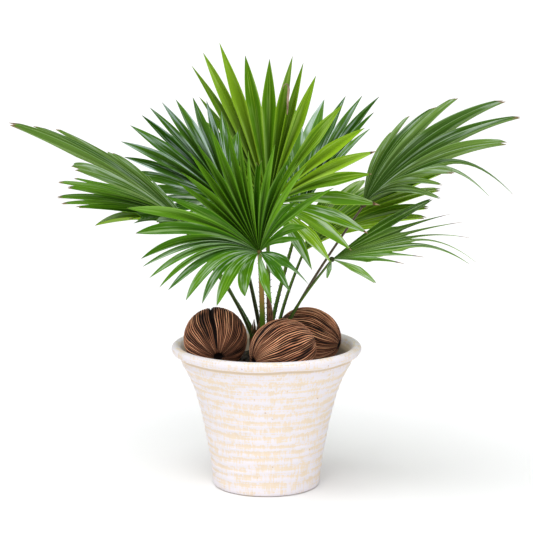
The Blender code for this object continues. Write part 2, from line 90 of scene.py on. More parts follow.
FRONDS = (
    Frond("frond_front", (-4.3, -11.7), (-9, -72, 321), (
        (-18, -34, -50), (-53, -52, -59), (-71, -58, -55), (-91, -64, -50), (-113, -65, -37),
        (-124, -64, -34), (-136, -62, -22), (-145, -56, -9), (-147, -50, 0), (-154, -42, 31), (-165, -30, 61),
        (-121, -10, 74), (-104, 2, 90), (-99, 8, 102), (-90, 14, 129), (-81, 18, 139), (-62, 22, 158),
        (-42, 26, 167), (-26, 28, 158), (-14, 26, 128), (-1, 26, 108), (20, 22, 136), (41, 16, 123),
        (49, 10, 117), (60, 4, 111), (48, -3, 66), (94, -8, 84), (60, -28, 36), (54, -34, 22),
        (63, -50, -33, 1), (39, -52, -42), (16, -38, -59)), bow=(-0.3, -0.5, 0.8), arch=0.1, split=0.58,
        reach=0.16, torn=(20,), broad=11, stalk="tan", girth=1.25),
    Frond("frond_top", (3.4, 2.4), (2, 28, 367), (
        (-66, 85, -60), (-100, 100, -12), (-112, 100, 36), (-108, 94, 64), (-102, 86, 88), (-94, 78, 112),
        (-92, 72, 138), (-102, 70, 180), (-86, 55, 198), (-64, 40, 212), (-30, 30, 196), (2, 20, 192),
        (32, 10, 196), (46, 5, 188), (62, -10, 172), (96, -30, 136), (124, -50, 108), (138, -70, 80),
        (132, -80, 52), (142, -94, 14), (127, -98, -22), (106, -96, -44), (80, -95, -60), (56, -90, -70)),
        bow=(0.0, -0.5, 0.8), arch=0.05, split=0.66, reach=0.09, leaf="fresh",
        dry=((17, 0.05), (18, 0.03), (19, 0.06), (20, 0.04), (21, 0.03))),
    Frond("frond_upper_left", (-3.8, -1.2), (-45, 8, 369), (
        (-60, 12, -20), (-84, 18, -4), (-98, 13, 6), (-110, 7, 21), (-132, -2, 44), (-140, -6, 66),
        (-144, -4, 86), (-132, 5, 106), (-118, 20, 118), (-108, 25, 128), (-92, 30, 134), (-74, 30, 138),
        (-52, 40, 140), (-34, 40, 136), (-14, 30, 122), (8, 5, 98)), bow=(0.0, -0.5, 0.8), arch=0.05, broad=5,
        leaf="deep", stalk="dark", girth=1.3),
    Frond("frond_far_left", (-11.0, -5.9), (-97, -22, 340), (
        (-40, -54, 20), (-143, -68, 91), (-227, -50, 147), (-196, -22, 140), (-171, 3, 134), (-104, 16, 102),
        (-54, 22, 68)), pleats=2, reach=0.08, leaf="grey"),
    Frond("frond_left", (-12.2, 2.6), (-103, 34, 344), (
        (-69, -54, 8, 1), (-142, -60, 30), (-162, -45, 32), (-170, -25, 38), (-158, 0, 48), (-174, 25, 52),
        (-154, 50, 54), (-110, 90, 44), (-56, 95, 26)), pleats=2, arch=0.04, split=0.65),
    Frond("frond_lower_left", (-7.3, 10.1), (-110, 62, 332), (
        (-68, -40, 19), (-118, -10, 6), (-108, 30, 30), (-75, 80, 22), (-27, 105, 12)), reach=0.22, broad=3,
        leaf="fresh"),
    Frond("frond_far_right", (12.5, 0.9), (126, 2, 372), (
        (40, 95, 86), (64, 100, 108), (100, 100, 120), (126, 85, 134), (186, 40, 134), (202, 0, 116),
        (178, -45, 86), (184, -80, 70, 46), (152, -100, 64, 40), (104, -115, 56), (90, -125, 42),
        (88, -135, 26)), pleats=2, bow=(-0.5, 0.0, 1.0), arch=0.07, split=0.58, reach=0.15, leaf="grey",
        stalk="grey"),
    Frond("frond_lower_right", (10.4, -7.0), (84, -38, 307), (
        (130, 20, 76), (154, 15, 58, 1), (168, 10, 48, 1), (176, 0, 40, 12), (184, -10, 36, 38),
        (174, -25, 28, 30), (114, -50, 12, 1), (88, -65, 6, 1), (52, -75, -18), (-8, -50, -16)), pleats=2,
        arch=0.02, split=0.55, reach=0.12, leaf="pale",
        dry=((1, 0.1), (2, 0.1), (3, 0.08), (6, 0.12), (7, 0.12))),
    Frond("frond_back_right", (1.3, 12.4), (45, 72, 348), (
        (-68, 90, 80), (-40, 95, 124), (-10, 95, 144), (34, 80, 150), (62, 55, 156), (84, 40, 158),
        (106, 25, 158), (98, 10, 138), (92, -10, 118)), bow=(-0.3, 0.0, 1.0), leaf="deep"),
    Frond("frond_right", (9.0, 8.7), (49, 36, 305), (
        (38, 105, 66), (82, 105, 84), (140, 80, 98), (184, 40, 102), (182, 15, 82), (164, -5, 60),
        (160, -26, 50), (104, -30, 38)), pleats=2, leaf="young"),
)

# Shares of a blade's grown-together and free lengths at which it has a row
JOINED_ROWS = (0.0, 0.08, 0.17, 0.28, 0.4, 0.52, 0.64, 0.76, 0.88, 1.0)
FREE_ROWS = (0.09, 0.18, 0.28, 0.38, 0.48, 0.58, 0.68, 0.77, 0.86, 0.94, 1.0)
PLEAT_COLUMNS = 6
TAPER_POWER = 1.4
SLENDER_POWER = 0.4
BROAD_POWER = 2.8
TORN_END = 0.8
BLUNT_END = 0.3  # of the width of a blade with several pleats
NOTCH = 0.035  # how far the teeth of such a blade stand out, as a share of its length
PLEAT_WIDTH = 0.19  # of a pleat that lies flat, as a share of its distance from the hub
LEAST_FOLD, DEEPEST_FOLD = 0.3, 1.3
HANGING_FOLD = 0.45  # of the fold of a blade that points up, for one that points down
NORMAL_STEP = 0.05
WEEP = 0.8  # how much more a level blade arches than one that points up
HUB_RADIUS, HUB_RING = 4.0, 2.4

SOCKET_BOTTOM = 166.0
CROWN_TOP = 192.0
STALK_BASE_RADIUS, STALK_TIP_RADIUS = 3.2, 2.0
STALK_WIDENING = 1.1
STALK_SIDES, STALK_ROWS = 14, 36
STALK_RISE = 44.0
SPINE_LENGTH, SPINE_RADIUS, SPINE_SIDES = 3.6, 1.0, 5

SHEATH_POINTS = ((3.9, -11.9, 166.0), (4.2, -13.5, 190.0), (5.0, -18.5, 216.0), (4.0, -26.0, 243.0),
                 (1.5, -33.0, 262.0))
SHEATH_RADII = (3.0, 4.6, 4.4, 3.2, 0.9)
SHEATH_SIDES = 30
CURL_POINTS = ((26.6, 25.0, 488.0), (27.4, 25.5, 499.0), (27.6, 26.0, 510.0), (28.8, 26.5, 519.0),
               (28.6, 26.0, 524.5), (25.8, 24.0, 528.5), (22.6, 22.0, 526.5), (22.0, 21.5, 521.5))
CURL_WIDTHS = (0.5, 1.1, 1.6, 1.5, 1.2, 1.0, 0.8, 0.3)
CROWN_SHEATHS, CROWN_SHEATH_FOOT = 11, 158.0
STRIP_COLUMNS, STRIP_THICKNESS = 6, 0.5

# Pot: radius and height, outside from the lip's crest down to the foot, and the inside
LIP = ((119.0, 189.0), (121.6, 188.6), (123.6, 187.0), (124.8, 184.8), (124.9, 182.2), (124.0, 179.6),
       (122.2, 177.4), (119.6, 175.9), (116.8, 175.0), (114.9, 173.9), (113.9, 172.2), (113.5, 170.0))
FLARE = ((113.0, 165.5), (104.5, 153.0), (98.5, 139.0), (93.0, 124.0), (87.5, 103.0), (83.0, 83.5),
         (79.0, 61.5), (75.0, 40.0), (72.3, 18.0), (71.0, 4.0))
BORE = ((116.6, 188.5), (114.5, 187.6), (112.8, 185.9), (111.5, 184.0), (106.5, 172.0), (96.0, 151.0),
        (78.0, 96.0), (64.5, 24.0), (58.0, 13.0))
FOOT = ((70.6, 2.2), (69.4, 0.8), (67.5, 0.0), (0.0, 0.0))
POT_SIDES = 180
FLARE_TOP, FLARE_FOOT, FLARE_STEP = 165.5, 4.0, 1.6
WALL = 3.0
LIP_TOP, LIP_FOOT = 186.5, 171.0
# How much wash the top of the lip, its underside and the inside take, where a groove has 0 and a ridge 1.
# The underside's value also paints a tan shadow under the lip, and the inside's a dark brown painted shade.
WASHED, BARE_PAINTED_LIP_SHADOW, PAINTED_INSIDE_SHADE = 0.8, -1.0, -2.0
FLOOR_HEIGHT = 12.0
SOIL_HEIGHT = 161.0
SOIL_RINGS, SOIL_SIDES = 44, 160
CRUMBS = 620
CROWN_SIDES = 120
CROWN_OUTLINE = ((11.0, 118.0), (16.0, 128.0), (19.0, 152.0), (19.6, 172.0), (19.2, 188.0), (18.4, 192.0))


@dataclass(frozen=True)
class Husk:
    """A dried fibrous fruit: half its length and width, the way its stalk end points, and its cleft's way."""

    name: str
    centre: tuple
    half_length: float
    half_width: float
    pole: tuple
    cleft: tuple
    tone: float
    seed: int


HUSKS = (
    Husk("husk_left", (-66.5, -26.0, 200.5), 41.5, 41.5, (0.12, -0.90, -0.40), (-0.12, -0.4, 0.9), -0.2, 21),
    Husk("husk_front", (21.0, -61.5, 192.0), 44.0, 41.0, (-0.85, -0.45, -0.25), (0.4, 0.2, 0.9), 0.25, 22),
    Husk("husk_back", (56.0, 27.0, 193.0), 44.0, 38.5, (0.93, -0.30, -0.20), (0.0, 0.9, 0.3), 0.15, 23),
)
STRANDS = 84
HUSK_COLUMNS, HUSK_ROWS = 924, 72
CLEFT_WIDTH, CLEFT_DEPTH = 0.045, 2.6

# For each kind of leaf: the colour and the strength of its painted sheen, how deep its painted shade is in
# the valley of each steep pleat and towards the hub, and how pale its ribs are, partly as a painted highlight
LEAF_KINDS = {
    "young": ((0.70, 0.85, 0.45), 0.6, 0.5, 0.65),
    "pale": ((0.52, 0.64, 0.42), 0.45, 0.15, 1.0),
    "fresh": ((0.50, 0.68, 0.20), 0.22, 0.75, 0.55),
    "mid": ((0.38, 0.54, 0.18), 0.16, 0.9, 0.55),
    "deep": ((0.54, 0.66, 0.64), 0.8, 0.8, 0.55),
    "grey": ((0.52, 0.64, 0.52), 0.5, 0.5, 0.7),
}
# The colour of the painted sheen on hanging blades
HANGING_SHEEN = (0.54, 0.66, 0.50)
# For each kind of stalk: the colours of its foot, its length and its margins
STALK_KINDS = {
    "green": ((0.06, 0.13, 0.016), (0.10, 0.19, 0.022), (0.03, 0.02, 0.012)),
    "dark": ((0.03, 0.055, 0.010), (0.05, 0.09, 0.012), (0.02, 0.012, 0.008)),
    "tan": ((0.11, 0.24, 0.02), (0.34, 0.21, 0.06), (0.10, 0.035, 0.015)),
    "grey": ((0.07, 0.11, 0.03), (0.15, 0.13, 0.08), (0.08, 0.045, 0.03)),
}
# Two colours, how finely they mottle each other, and how rough the look is
THORN_LOOK = (0.012, 0.008, 0.006), (0.07, 0.035, 0.02), (900.0, 900.0, 900.0), 0.5
FLOOR_LOOK = (0.93, 0.93, 0.93), (0.95, 0.95, 0.95), (2.0, 2.0, 1.0), 0.9
# For each kind of fibre: its dark, brown and pale colours
FIBRE_KINDS = {
    "torn_fibre": ((0.05, 0.022, 0.012), (0.30, 0.15, 0.07), (0.50, 0.31, 0.15)),
    "dead_blade": ((0.14, 0.085, 0.05), (0.44, 0.32, 0.22), (0.66, 0.55, 0.44)),
}

FLOOR_RADIUS, FLOOR_DROP = 60000.0, 0.3
# For each light of the stage: how wide it is and how it is turned, in degrees
LIGHTS = (("top", 50.0, (14.0, -12.0, 0.0)), ("key", 40.0, (50.0, 0.0, 4.0)),
          ("side", 70.0, (40.0, 0.0, -115.0)))


def colour_property(name, default):
    return FloatVectorProperty(name=name, description="Colour of the " + name.lower(), default=default,
                               subtype="COLOR", size=3, min=0.0, max=1.0)


def number_property(name, description, default, **kind):
    return FloatProperty(name=name, description=description, default=default, **kind)


def length_property(name, description, default):
    return number_property(name, description, default, unit="LENGTH", min=0.0)


def angle_property(name, description, degrees):
    return number_property(name, description, math.radians(degrees), subtype="ANGLE")


def light_property(name, default):
    return number_property(name, "Strength of the " + name.lower(), default)


class PALM_PG_leaves(bpy.types.PropertyGroup):
    thickness: length_property("Thickness", "Thickness of a blade", 0.0006)
    twist: angle_property("Twist", "Most that the free end of a blade turns about its midrib", 16.0)
    spines: IntProperty(name="Spines", description="Spines along each stalk", min=0, default=44)
    # Painted light: the lightened and the pale leaf colours are lighter, partly as the leaves' own colour and
    # partly to stand for light on fronds that lie in shade
    young: colour_property("Young leaves", (0.22, 0.45, 0.02))
    pale: colour_property("Pale leaves", (0.165, 0.335, 0.046))
    fresh: colour_property("Yellow-green leaves", (0.148, 0.322, 0.008))
    mid: colour_property("Grown leaves", (0.072, 0.213, 0.006))
    deep: colour_property("Old leaves", (0.064, 0.185, 0.014))
    grey: colour_property("Greyish leaves", (0.112, 0.235, 0.036))
    dead: colour_property("Dried tips", (0.34, 0.24, 0.14))


class PALM_PG_pot(bpy.types.PropertyGroup):
    ridge_pitch: length_property("Ridge pitch", "Height from one throwing ridge to the next", 0.0108)
    ridge_depth: length_property("Ridge depth", "How far a throwing ridge stands out", 0.0006)
    clay: colour_property("Bare clay", (0.88, 0.74, 0.58))
    wash: colour_property("Brushed wash", (0.86, 0.81, 0.85))


class PALM_PG_husks(bpy.types.PropertyGroup):
    relief: length_property("Relief", "Depth of the grooves between the strands", 0.0022)
    strand: colour_property("Raised strands", (0.56, 0.225, 0.118))
    # The colour of the painted shade in the grooves between the strands
    groove: colour_property("Grooves", (0.012, 0.005, 0.004))


class PALM_PG_stage(bpy.types.PropertyGroup):
    height: length_property("Camera height", "Height of the camera above the floor", 0.697)
    distance: length_property("Camera distance", "Distance of the camera in front of the pot's axis", 2.45)
    tilt: angle_property("Camera tilt", "How far the camera looks down", 9.4)
    lens: number_property("Lens", "Focal length in millimetres", 128.33)
    sky: light_property("Light from all round", 0.48)
    top: light_property("Light overhead", 1.55)
    key: light_property("Light in front", 1.0)
    side: light_property("Light on the left", 0.35)


class Socket:
    """An output of a node in a finish. Arithmetic on it adds a Math node."""

    def __init__(self, finish, output):
        self.finish = finish
        self.output = output

    def __add__(self, other):
        return self.finish.math("ADD", self, other)

    def __sub__(self, other):
        return self.finish.math("SUBTRACT", self, other)

    def __mul__(self, other):
        return self.finish.math("MULTIPLY", self, other)

    def __rsub__(self, other):
        return self.finish.math("SUBTRACT", other, self)

    def __abs__(self):
        return self.finish.math("ABSOLUTE", self)

    def ramp(self, low, high):
        """0 where the value is low, 1 where it is high, and smooth between them."""
        inputs = {"Value": self, "From Min": low, "From Max": high}
        return self.finish.node("MapRange", inputs, "Result", interpolation_type="SMOOTHSTEP")

    __radd__ = __add__


class Finish:
    """A material with one Principled shader and the nodes that feed it."""

    def __init__(self, name):
        self.material = bpy.data.materials.new(name)
        self.material.use_nodes = True
        self.tree = self.material.node_tree
        self.shader = self.tree.nodes["Principled BSDF"]

    def node(self, kind, inputs, output=0, **settings):
        """An output of a new node, which gets its settings before its inputs are linked or set."""
        made = self.tree.nodes.new("ShaderNode" + kind)
        for name, value in settings.items():
            setattr(made, name, value)
        self.feed(made, inputs)
        return Socket(self, made.outputs[output])

    def feed(self, node, inputs):
        for name, value in inputs.items():
            if isinstance(value, Socket):
                self.tree.links.new(value.output, node.inputs[name])
            else:
                node.inputs[name].default_value = value

    def math(self, operation, first, second=None):
        inputs = {0: first} if second is None else {0: first, 1: second}
        return self.node("Math", inputs, operation=operation)

    def mix(self, first, second, factor):
        """The first colour turning into the second as the factor goes from 0 to 1."""
        return self.node("Mix", {0: factor, 6: rgba(first), 7: rgba(second)}, 2, data_type="RGBA")

    def noise(self, point, scales, detail=2.0, roughness=0.5):
        """A cloudy pattern from 0 to 1, finer along the parts of the point whose scale is larger."""
        scaled = {n: part * scale for n, (part, scale) in enumerate(zip(point, scales))}
        inputs = {"Vector": self.node("CombineXYZ", scaled), "Scale": 1.0, "Detail": detail,
                  "Roughness": roughness}
        return self.node("TexNoise", inputs)

    def split(self, vector):
        made = self.node("SeparateXYZ", {0: vector}).output.node
        return [Socket(self, part) for part in made.outputs]

    def place(self):
        """X, Y and Z of the point in metres."""
        return self.split(self.node("TexCoord", {}, "Object"))

    def attribute(self, name):
        return self.split(self.node("Attribute", {}, "Vector", attribute_name=name))

    def bump(self, height, distance, strength=1.0):
        return self.node("Bump", {"Height": height, "Distance": distance, "Strength": strength})

    def done(self, colour, roughness, **others):
        """The material, with its other inputs named with _ for a space."""
        inputs = {name.replace("_", " "): value for name, value in others.items()}
        self.feed(self.shader, {"Base Color": rgba(colour), "Roughness": roughness, **inputs})
        return self.material


def rgba(colour):
    return colour if isinstance(colour, Socket) else (*colour, 1.0)


def tinted(colour, factors):
    return tuple(min(part * factor, 1.0) for part, factor in zip(colour, factors))


def shade(colour, factor):
    return tinted(colour, (factor, factor, factor))


def shadow(colour, factor):
    """A darker and greener leaf colour."""
    return tinted(colour, (factor * 0.8, factor, factor * 0.5))


def leaf_finish(finish, colour, dead, gleam, strength, painted_shade_depth, ribs):
    """A satin blade: fine veins from hub to tip, a pale midrib, mottled green, and dried tips. It has painted
    shade in the valley of each steep pleat, on the half of each pleat turned from the light and towards the
    hub, painted sheen in pale streaks, and pale ribs that are partly a painted highlight.

    The attribute vein holds where a point lies across its blade in pleats, along it from hub to tip and how
    steep its pleats are, look holds the blade's own tint, how far into its dried end the point is, and 1 on
    the upper side, and hang is 1 on a blade that hangs.
    """
    across, along, steep = finish.attribute("vein")
    tint, dry, upper = finish.attribute("look")
    hang = finish.attribute("hang")[0]
    spot = across, along, tint
    streak = finish.noise(spot, (7.0, 1.5, 40.0), 3.0)
    fine = finish.noise(spot, (34.0, 2.0, 90.0))
    vein = finish.math("SINE", across * 44.0)
    half = finish.math("FRACT", across)
    fold = abs(half - 0.5) * 2.0
    light = tinted(colour, (1.8, 1.45, 1.8))
    # Painted shade: darker towards the hub, as deep as the blade's other painted shade; hanging blades a
    # little darker
    lighter = (along - 0.45) * (0.5 * painted_shade_depth) + 0.42 - hang * 0.28
    amount = (streak - 0.5) * 1.6 + (tint - 0.5) * 0.8 + lighter + (fine - 0.5) * 0.7 + vein * 0.05
    blade = finish.mix(shadow(colour, 0.6), light, amount.ramp(0.0, 1.0))
    pale = tinted(colour, (2.6, 1.9, 5.0))
    midrib = 1.0 - fold.ramp(0.02, 0.09)
    blade = finish.mix(blade, pale, midrib * along.ramp(0.45, 0.8) * 0.4)
    # Pale lines along the ridges, partly the ribs' own colour and partly a painted highlight
    blade = finish.mix(blade, pale, fold.ramp(0.88, 0.99) * ribs)
    # Painted shade, nearly black, in the valley of each steep pleat towards the hub
    painted_valley_shade = (steep * (1.0 - fold)).ramp(0.05, 0.6) * (1.0 - along.ramp(0.35, 0.95))
    # Painted shade on the half of each steep pleat that is turned from the light
    turned_off = steep.ramp(0.3, 1.0) * (1.0 - half.ramp(0.42, 0.58)) * (1.0 - along * 0.6)
    blade = finish.mix(blade, shadow(colour, 0.42), turned_off * (0.65 * painted_shade_depth))
    # The painted valley shade is laid on here
    blade = finish.mix(blade, shadow(colour, 0.1), painted_valley_shade * painted_shade_depth)
    # Painted sheen: pale streaks on the upper side, stronger on hanging blades and none in the painted valley
    # shade; the same streaks give the coat its weight
    patch = finish.noise(spot, (1.9, 3.0, 60.0))
    sheen = (patch + (streak - 0.5) * 0.9).ramp(0.47, 0.70) * (1.0 - painted_valley_shade) * upper
    painted_sheen_colour = finish.mix(gleam, HANGING_SHEEN, hang)
    blade = finish.mix(blade, painted_sheen_colour, sheen * (hang * 0.36 + strength))
    blade = finish.mix(shade(light, 0.95), blade, upper * 0.5 + 0.5)
    dried = dry + (fine - 0.5) * 0.3
    blade = finish.mix(blade, (0.10, 0.045, 0.025), dried.ramp(-0.05, 0.12))
    blade = finish.mix(blade, dead, dried.ramp(0.25, 0.45))
    rough = 0.36 + streak * 0.14 + (1.0 - upper) * 0.12
    gloss = sheen * strength + (1.0 - painted_valley_shade) * 0.05
    return finish.done(blade, rough, Normal=finish.bump(vein * 0.5 + fine, 0.00018, 0.7),
                       Specular_IOR_Level=0.05, Coat_Weight=gloss, Coat_Roughness=0.22)


def stalk_finish(finish, foot, colour, margin):
    """A streaked stalk that turns from the foot's colour to its own and darkens to its thorny margins."""
    turn, along, _ = finish.attribute("bark")
    sine, cosine = finish.math("SINE", turn), finish.math("COSINE", turn)
    streak = finish.noise((sine, cosine, along), (6.0, 6.0, 18.0), 3.0)
    tone = finish.mix(foot, colour, along.ramp(0.225, 0.262))
    body = finish.mix(tone, shade(margin, 1.2), streak.ramp(0.62, 0.8) * 0.7)
    body = finish.mix(body, shade(colour, 2.2), (1.0 - streak.ramp(0.28, 0.42)) * 0.5)
    body = finish.mix(body, margin, (abs(cosine) + (streak - 0.5) * 0.2).ramp(0.82, 0.96) * 0.8)
    return finish.done(body, 0.42, Normal=finish.bump(streak, 0.0003), Specular_IOR_Level=0.15)


def mottled_finish(finish, first, second, scales, roughness):
    return finish.done(finish.mix(first, second, finish.noise(finish.place(), scales)), roughness)


def clay_finish(finish, clay, wash):
    """White wash brushed round a cream clay body: it covers the ridges and leaves the grooves bare. A tan
    shadow is painted under the lip and a dark brown shade inside the pot.
    """
    place = finish.place()
    crest = finish.attribute("crest")[0]
    brush = finish.noise(place, (30.0, 30.0, 430.0), 4.0, 0.62)
    lines = finish.noise(place, (18.0, 18.0, 900.0))
    patch = finish.noise(place, (60.0, 60.0, 70.0), 4.0, 0.6)
    weave = finish.noise(place, (430.0, 430.0, 60.0))
    grain = finish.noise(place, (900.0, 900.0, 900.0))
    strokes = (brush - 0.5) * 1.5 + (lines - 0.5) * 1.3 + (weave - 0.5) * 1.7 + (patch - 0.5) * 1.4
    coat = (crest * 0.5 + strokes).ramp(-0.02, 0.45)
    bare = finish.mix(shade(clay, 0.9), shade(clay, 1.05), patch)
    # A tan painted shadow under the lip and inside the pot, where the crest is below 0
    colour = finish.mix(finish.mix((0.70, 0.56, 0.42), bare, crest.ramp(-0.9, -0.2)), wash, coat)
    speck = finish.noise(place, (210.0, 210.0, 210.0), 1.0).ramp(0.77, 0.80)
    colour = finish.mix(colour, (0.42, 0.24, 0.14), speck * 0.6)
    # Dark brown painted shade inside the pot
    colour = finish.mix(colour, (0.36, 0.29, 0.22), (1.0 - crest.ramp(-1.9, -1.0)) * 0.8)
    height = brush * 0.5 + weave * 0.35 + grain * 0.35 + coat * 0.3
    return finish.done(colour, 0.82 - coat * 0.1, Normal=finish.bump(height, 0.0006, 0.8))


def soil_finish(finish):
    place = finish.place()
    crumb = finish.noise(place, (260.0, 260.0, 260.0), 5.0, 0.65)
    fibre = finish.noise(place, (60.0, 900.0, 400.0))
    colour = finish.mix((0.008, 0.005, 0.004), (0.05, 0.03, 0.018), crumb.ramp(0.35, 0.7))
    colour = finish.mix(colour, (0.14, 0.09, 0.055), fibre.ramp(0.68, 0.76) * 0.4)
    return finish.done(colour, 0.95, Normal=finish.bump(crumb, 0.003))


def husk_finish(finish, strand, groove):
    """Brown strands with pale orange streaks painted on them as highlights, and nearly black painted shade in
    the grooves between them.

    The attribute grain holds a point's place across and along the strands, and relief how high it stands
    and how light its strand is.
    """
    grain = finish.attribute("grain")
    relief, tone, _ = finish.attribute("relief")
    hair = finish.noise(grain, (6.0, 6.0, 0.8), 2.0, 0.6)
    cloud = finish.noise(grain, (0.35, 0.35, 0.8))
    amount = tone * 0.8 + (hair - 0.5) * 1.7 + (cloud - 0.5) * 0.9 + 0.5
    colour = finish.mix(shade(strand, 0.36), shade(strand, 1.08), amount.ramp(0.0, 0.75))
    # Pale orange streaks painted on the strands as highlights
    colour = finish.mix(colour, (1.0, 0.50, 0.28), amount.ramp(0.52, 1.0) * 0.95)
    # Painted shade, nearly black, where the relief is low: in the grooves, the cleft and at the pole
    colour = finish.mix(groove, colour, (relief + (hair - 0.5) * 0.5).ramp(0.74, 0.90))
    return finish.done(colour, 0.6, Normal=finish.bump(hair + relief, 0.0012), Specular_IOR_Level=0.2)


def fibre_finish(finish, dark, brown, pale):
    """Dry fibre in threads, brown with paler patches."""
    place = finish.place()
    thread = finish.noise(place, (620.0, 620.0, 40.0), 3.0, 0.6)
    patch = finish.noise(place, (60.0, 60.0, 50.0), 3.0)
    colour = finish.mix(dark, brown, thread.ramp(0.34, 0.66))
    colour = finish.mix(colour, pale, patch.ramp(0.55, 0.75) * 0.5)
    return finish.done(colour, 0.8, Normal=finish.bump(thread, 0.001))


def finish_of(name, make, *values):
    """The material of that name, made on first use."""
    return bpy.data.materials.get(name) or make(Finish(name), *values)


def fibre_of(kind):
    return finish_of(kind, fibre_finish, *FIBRE_KINDS[kind])


def placed(name, data):
    """A new object of the scene."""
    obj = bpy.data.objects.new(name, data)
    bpy.context.scene.collection.objects.link(obj)
    return obj


def piece_from(name, bm, finishes, angle=40.0):
    """A smooth-shaded piece, its faces outward, from a bmesh in millimetres, which is freed."""
    bmesh.ops.recalc_face_normals(bm, faces=bm.faces)
    bmesh.ops.scale(bm, vec=(MM, MM, MM), verts=bm.verts)
    mesh = bpy.data.meshes.new(name)
    bm.to_mesh(mesh)
    bm.free()
    for finish in finishes:
        mesh.materials.append(finish)
    mesh.shade_smooth()
    mesh.set_sharp_from_angle(angle=math.radians(angle))
    return placed(name, mesh)


def dressed(obj, slot, *nodes):
    """The piece rides on the palm's body and stands for those nodes, which are hidden. The slot is not used.
    """
    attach(obj, BODY)
    if nodes:
        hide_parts(*nodes)


def clamped(value, low=0.0, high=1.0):
    return min(max(value, low), high)


def swell(x, y, z):
    """Smooth noise from -1 to 1 at that point."""
    return noise.noise(Vector((x, y, z)))


def polar(radius, angle):
    """X and Y at a radius and an angle round the Z axis."""
    return radius * math.cos(angle), radius * math.sin(angle)


def turn_to(way):
    """The rotation that brings Z to that way."""
    return Vector((0, 0, 1)).rotation_difference(way).to_matrix()


def faces_of(verts):
    return {face for vert in verts for face in vert.link_faces}


def corners_of(verts):
    return [loop for vert in verts for loop in vert.link_loops]


def add_grid(bm, columns, rows):
    """The vertices of a new grid, from -1 to 1 across its columns and its rows."""
    return bmesh.ops.create_grid(bm, x_segments=columns, y_segments=rows, size=1.0)["verts"]


def row_of(vert, rows):
    """The number of the row of a new grid that a vertex is in."""
    return round((vert.co.y + 1) / 2 * rows)


def vector_layers(parts, *names):
    """New attributes on the vertices or the face corners of a bmesh."""
    return [parts.layers.float_vector.new(name) for name in names]


class Fan:
    """The smooth surface that the blades lie on: s runs across the fan and t from the hub to the tips."""

    def __init__(self, frond):
        self.frond = frond
        self.hub = Vector(frond.hub)
        self.bow = Vector(frond.bow).normalized()
        self.lengths = [Vector(tip[:3]).length for tip in frond.tips]
        self.ways = [Vector(tip[:3]).normalized() for tip in frond.tips]
        turns = [a.angle(b) for a, b in zip(self.ways, self.ways[1:])]
        self.reach = frond.reach / sum(turns)
        self.places = [sum(turns[:n]) / sum(turns) for n in range(len(turns) + 1)]

    def edges(self, number):
        """Where the blade of that number begins, has its tip and ends across the fan."""
        places = [2 * self.places[0] - self.places[1], *self.places, 2 * self.places[-1] - self.places[-2]]
        before, middle, after = places[number:number + 3]
        return (middle - min((middle - before) / 2, self.reach), middle,
                middle + min((after - middle) / 2, self.reach))

    @functools.lru_cache(maxsize=None)
    def tip(self, s):
        last = len(self.places) - 2
        k = max((n for n in range(last + 1) if self.places[n] <= s), default=0)
        u = (s - self.places[k]) / (self.places[k + 1] - self.places[k])
        way = self.ways[k] * (1 - u) + self.ways[k + 1] * u
        return way.normalized() * (self.lengths[k] * (1 - u) + self.lengths[k + 1] * u)

    def point(self, s, t):
        tip = self.tip(s)
        way = tip.normalized()
        bow = self.bow - way * self.bow.dot(way)
        arch = self.frond.arch * (1 + WEEP * (1 - way.z))
        return self.hub + tip * t + bow * (tip.length * arch * 4 * t * (1 - t))

    def normal(self, s, t):
        """The way that the upper face looks."""
        t = clamped(t, 0.15, 0.97)
        across = self.point(s + NORMAL_STEP, t) - self.point(s - NORMAL_STEP, t)
        outward = self.point(s, t + 0.03) - self.point(s, t - 0.03)
        return across.cross(outward).normalized()


def blade_rows(frond, number):
    """The rows of a blade: share of its length, width from 1 to its end's, and share of its free part."""
    slender = len(frond.tips[number]) > 3
    rows = [(share * frond.split, 1.0, 0.0) for share in JOINED_ROWS]
    end = BLUNT_END if frond.pleats > 1 and not slender else 0.0
    end = TORN_END if number in frond.torn else end
    power = SLENDER_POWER if slender else BROAD_POWER if number < frond.broad else TAPER_POWER
    for share in FREE_ROWS:
        t = frond.split + share * (1 - frond.split)
        rows.append((t, (1 - (1 - end) * share ** power) * frond.split / t, share))
    return rows


